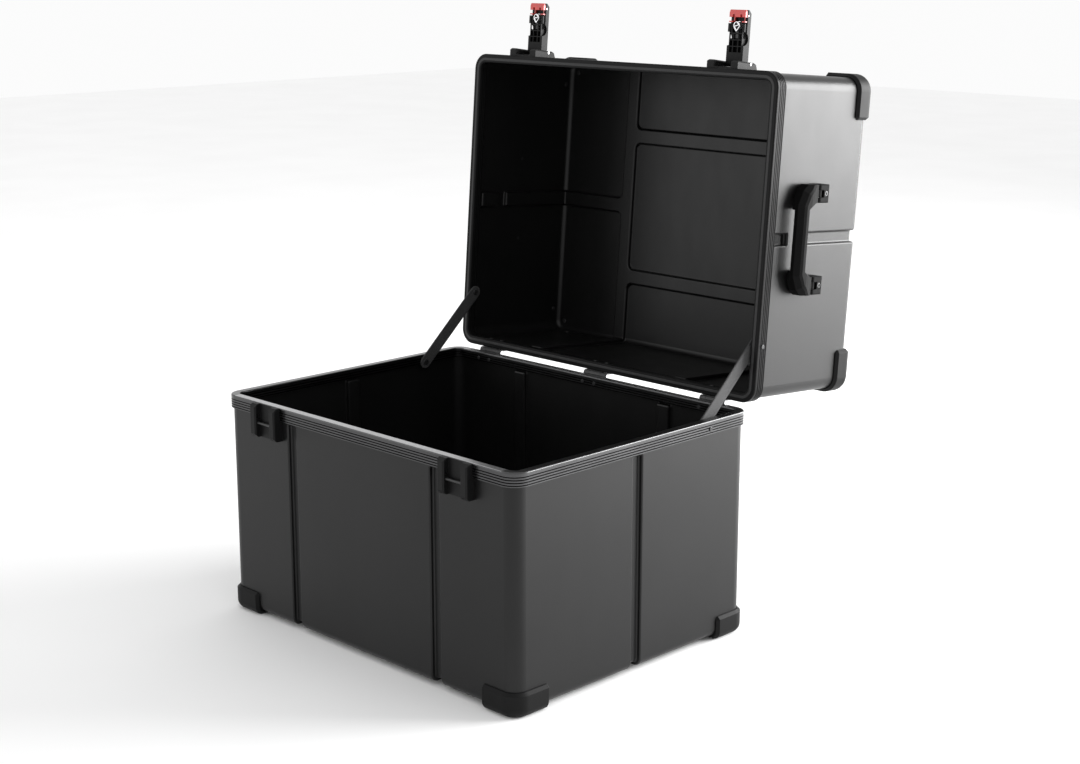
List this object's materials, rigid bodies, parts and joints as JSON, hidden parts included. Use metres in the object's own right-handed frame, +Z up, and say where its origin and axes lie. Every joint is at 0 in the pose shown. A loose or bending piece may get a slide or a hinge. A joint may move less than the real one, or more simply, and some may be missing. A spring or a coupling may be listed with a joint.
{
  "type": "hard-shell motorcycle case",
  "caption": "Large hard-shell motorcycle case: grooved plastic base and deep hinged lid with metal rims, corner guards, stay straps, two lever latches with locks and side handles.",
  "frame": {"origin": "centre of the base's four feet, on the surface that it stands on", "axes": "+Z up, front with the latches towards -Y, hinges towards +Y, right hand of someone facing the front towards +X"},
  "size_m": [0.65, 0.7425, 0.8776],
  "materials": {
    "shell_plastic": "fine moulded grain",
    "rim_anodised": "black anodised",
    "guard_plastic": "coarse moulded grain",
    "rivet_black": "black",
    "hinge_steel": "black satin",
    "pin_steel": "ground",
    "screw_black": "black oxide",
    "boss_plastic": "smooth",
    "webbing": "woven",
    "seal_rubber": "smooth",
    "latch_plastic": "fine moulded grain",
    "handle_plastic": "fine moulded grain",
    "button_red": "satin",
    "lock_chrome": "polished"
  },
  "bodies": {
    "base": {"base_shell": "shell_plastic", "base_rim": "rim_anodised", "base_guard_front_left": "guard_plastic", "base_guard_front_right": "guard_plastic", "base_guard_back_left": "guard_plastic", "base_guard_back_right": "guard_plastic", "base_guard_rivets": "rivet_black", "base_hinge_leaf_left": "hinge_steel", "base_hinge_leaf_centre": "hinge_steel", "base_hinge_leaf_right": "hinge_steel", "base_hinge_rivets": "rivet_black", "base_strap_screws": "screw_black", "base_strap_bosses": "boss_plastic", "base_latch_screws": "screw_black", "hinge_pins": "pin_steel", "stay_strap_left": "webbing", "stay_strap_right": "webbing", "keeper_left": "latch_plastic", "keeper_right": "latch_plastic", "catch_bar_left": "screw_black", "catch_bar_right": "screw_black"},
    "lid": {"lid_shell": "shell_plastic", "lid_rim": "rim_anodised", "lid_seal": "seal_rubber", "lid_guard_front_left": "guard_plastic", "lid_guard_front_right": "guard_plastic", "lid_guard_back_left": "guard_plastic", "lid_guard_back_right": "guard_plastic", "lid_guard_rivets": "rivet_black", "lid_hinge_leaf_left": "hinge_steel", "lid_hinge_leaf_centre": "hinge_steel", "lid_hinge_leaf_right": "hinge_steel", "lid_hinge_rivets": "rivet_black", "lid_strap_screws": "screw_black", "lid_strap_bosses": "boss_plastic", "lid_latch_screws": "screw_black", "handle_pins": "pin_steel", "handle_screws": "screw_black", "latch_bracket_left": "latch_plastic", "latch_bracket_right": "latch_plastic", "latch_pivot_pin_left": "pin_steel", "latch_pivot_pin_right": "pin_steel", "handle_bracket_front_left": "handle_plastic", "handle_bracket_front_right": "handle_plastic", "handle_bracket_back_left": "handle_plastic", "handle_bracket_back_right": "handle_plastic"},
    "latch_arm_left": {"latch_arm_left": "latch_plastic", "button_pin_left": "pin_steel"},
    "release_button_left": {"release_button_left": "button_red"},
    "lock_left": {"lock_cylinder_left": "lock_chrome", "lock_cam_left": "screw_black"},
    "handle_left": {"handle_grip_left": "handle_plastic"},
    "latch_arm_right": {"latch_arm_right": "latch_plastic", "button_pin_right": "pin_steel"},
    "release_button_right": {"release_button_right": "button_red"},
    "lock_right": {"lock_cylinder_right": "lock_chrome", "lock_cam_right": "screw_black"},
    "handle_right": {"handle_grip_right": "handle_plastic"}
  },
  "joints": [
    {"name": "lid_hinge", "type": "hinge", "parent": "base", "child": "lid", "pos_m": [0, 0.2372, 0.33], "axis": [1, 0, 0], "range_deg": [0, 94.5], "deforming": ["stay_strap_left", "stay_strap_right"]},
    {"name": "latch_left", "type": "hinge", "parent": "lid", "child": "latch_arm_left", "pos_m": [-0.2, 0.308, 0.8026], "axis": [1, 0, 0], "range_deg": [0, 90]},
    {"name": "release_left", "type": "hinge", "parent": "latch_arm_left", "child": "release_button_left", "pos_m": [-0.2, 0.31674, 0.86912], "axis": [1, 0, 0], "range_deg": [0, 6], "stiffness_Nm_per_rad": 0.3, "springref_deg": -5.73},
    {"name": "lock_turn_left", "type": "hinge", "parent": "latch_arm_left", "child": "lock_left", "pos_m": [-0.2, 0.31166, 0.85548], "axis": [0, -0.9969, 0.0785], "range_deg": [0, 90]},
    {"name": "handle_left", "type": "hinge", "parent": "lid", "child": "handle_left", "pos_m": [-0.313, 0.35401, 0.55874], "axis": [0, -0.0785, -0.9969], "range_deg": [0, 90], "stiffness_Nm_per_rad": 0.15, "springref_deg": -34.38},
    {"name": "latch_right", "type": "hinge", "parent": "lid", "child": "latch_arm_right", "pos_m": [0.2, 0.308, 0.8026], "axis": [1, 0, 0], "range_deg": [0, 90]},
    {"name": "release_right", "type": "hinge", "parent": "latch_arm_right", "child": "release_button_right", "pos_m": [0.2, 0.31674, 0.86912], "axis": [1, 0, 0], "range_deg": [0, 6], "stiffness_Nm_per_rad": 0.3, "springref_deg": -5.73},
    {"name": "lock_turn_right", "type": "hinge", "parent": "latch_arm_right", "child": "lock_right", "pos_m": [0.2, 0.31166, 0.85548], "axis": [0, -0.9969, 0.0785], "range_deg": [0, 90]},
    {"name": "handle_right", "type": "hinge", "parent": "lid", "child": "handle_right", "pos_m": [0.313, 0.35401, 0.55874], "axis": [0, 0.0785, 0.9969], "range_deg": [0, 90], "stiffness_Nm_per_rad": 0.15, "springref_deg": -34.38}
  ]
}
